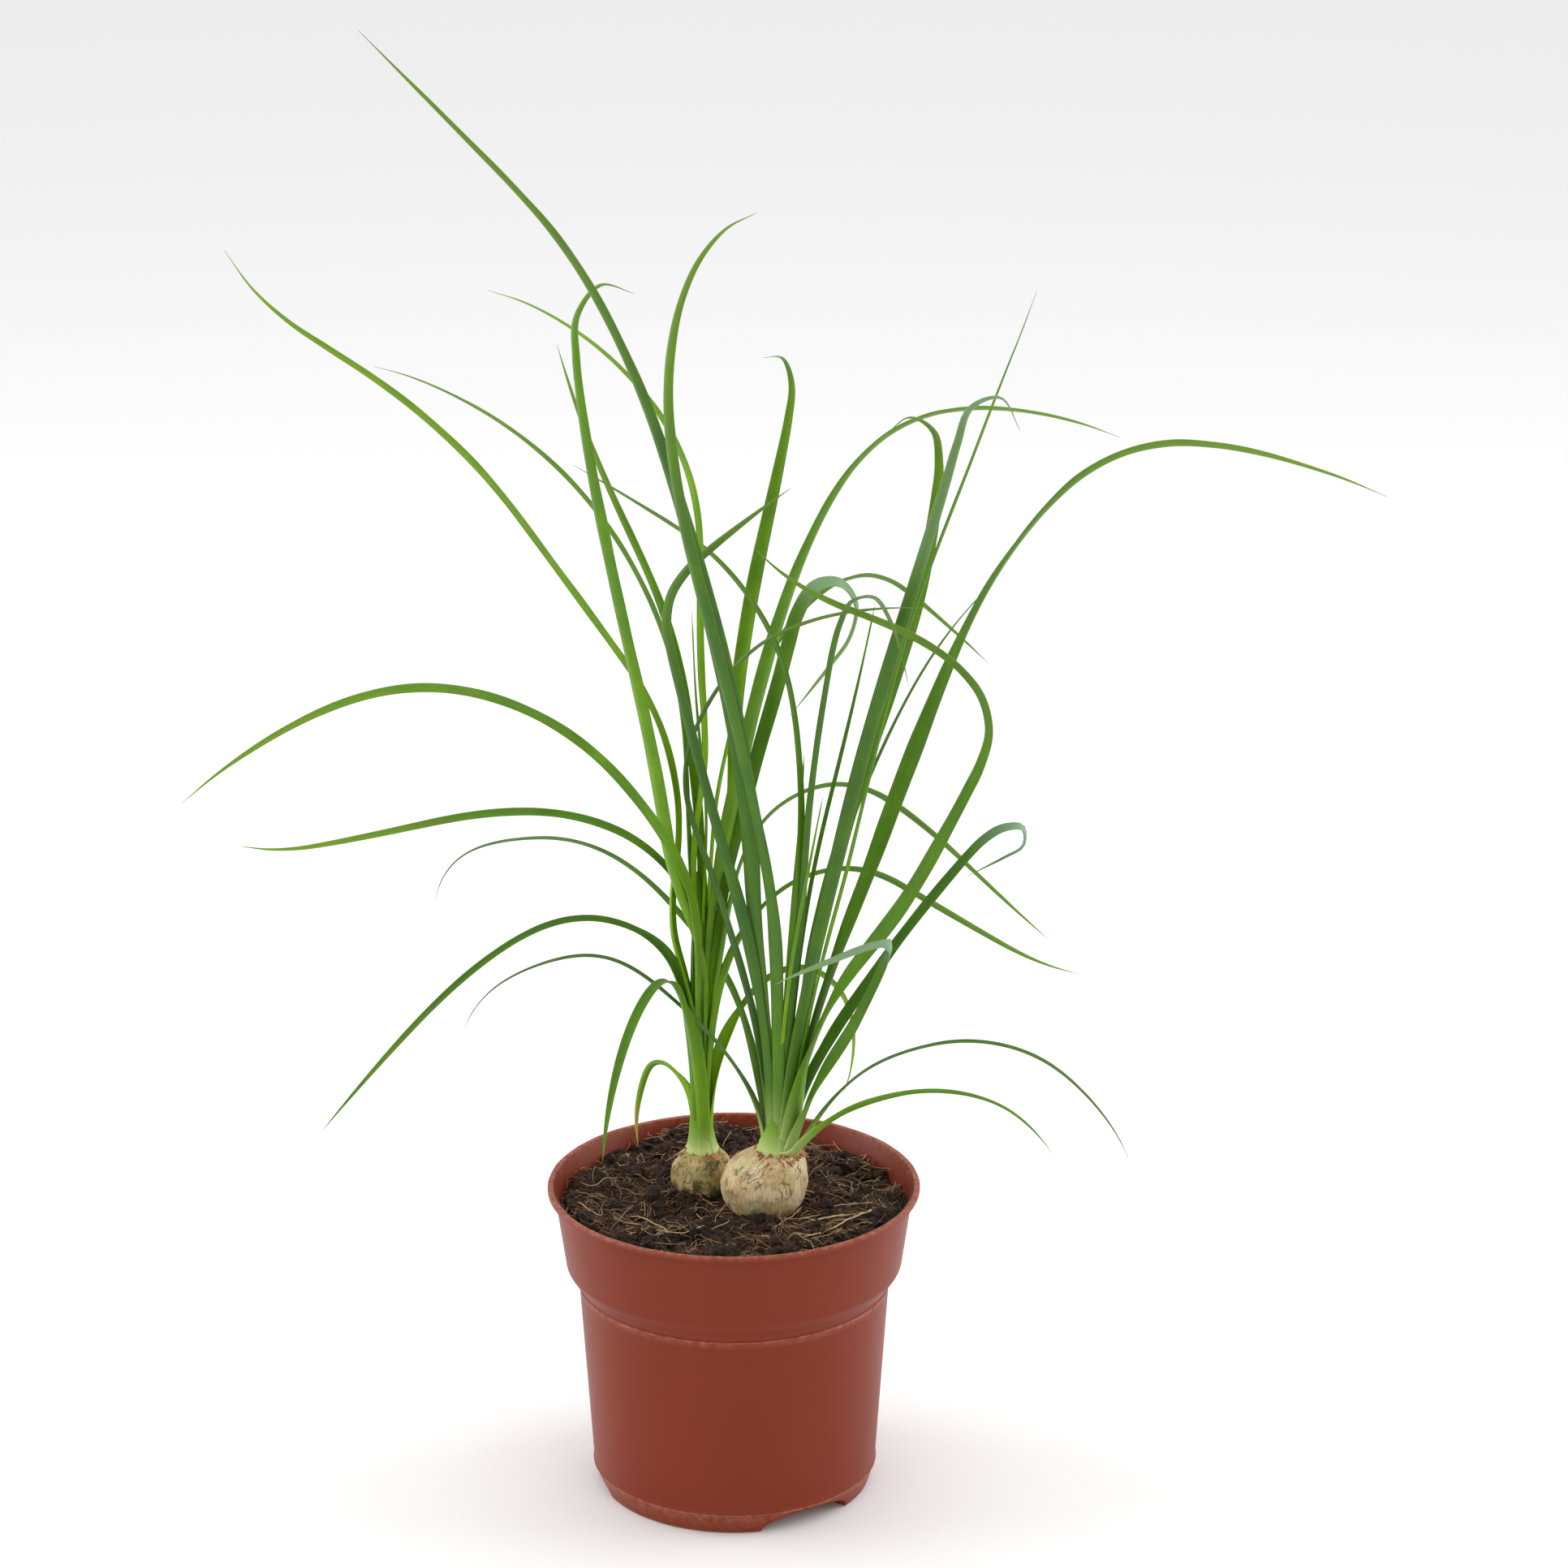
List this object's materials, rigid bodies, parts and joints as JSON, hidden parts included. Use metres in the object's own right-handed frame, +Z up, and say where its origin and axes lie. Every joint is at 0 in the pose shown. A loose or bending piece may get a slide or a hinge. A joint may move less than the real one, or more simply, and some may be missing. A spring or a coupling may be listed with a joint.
{
  "type": "potted ponytail palm",
  "caption": "Young ponytail palms with swollen stem bases and long arching strap leaves, standing in soil in a round plastic nursery pot with a deep collar.",
  "frame": {"origin": "on the pot's axis, in the plane the pot stands on", "axes": "+Z up along the pot's axis, -Y towards the viewer's side of the plant, +X to that viewer's right"},
  "size_m": [0.363, 0.1947, 0.4854],
  "materials": {
    "terracotta_plastic": "satin",
    "potting_soil": "matte",
    "bulb_skin": "matte",
    "leaf_green": "satin"
  },
  "bodies": {
    "root": {"pot": "terracotta_plastic", "soil": "potting_soil", "left_bulb": "bulb_skin", "right_bulb": "bulb_skin", "left_leaf_01": "leaf_green", "left_leaf_02": "leaf_green", "left_leaf_03": "leaf_green", "left_leaf_04": "leaf_green", "left_leaf_05": "leaf_green", "left_leaf_06": "leaf_green", "left_leaf_07": "leaf_green", "left_leaf_08": "leaf_green", "left_leaf_09": "leaf_green", "left_leaf_10": "leaf_green", "left_leaf_11": "leaf_green", "left_leaf_12": "leaf_green", "left_leaf_13": "leaf_green", "left_leaf_14": "leaf_green", "left_leaf_15": "leaf_green", "left_leaf_16": "leaf_green", "left_leaf_17": "leaf_green", "left_leaf_18": "leaf_green", "left_leaf_19": "leaf_green", "right_leaf_01": "leaf_green", "right_leaf_02": "leaf_green", "right_leaf_03": "leaf_green", "right_leaf_04": "leaf_green", "right_leaf_05": "leaf_green", "right_leaf_06": "leaf_green", "right_leaf_07": "leaf_green", "right_leaf_08": "leaf_green", "right_leaf_09": "leaf_green", "right_leaf_10": "leaf_green", "right_leaf_11": "leaf_green", "right_leaf_12": "leaf_green", "right_leaf_13": "leaf_green", "right_leaf_14": "leaf_green", "right_leaf_15": "leaf_green", "right_leaf_16": "leaf_green", "right_leaf_17": "leaf_green", "right_leaf_18": "leaf_green", "right_leaf_19": "leaf_green", "right_leaf_20": "leaf_green", "right_leaf_21": "leaf_green"}
  },
  "joints": []
}
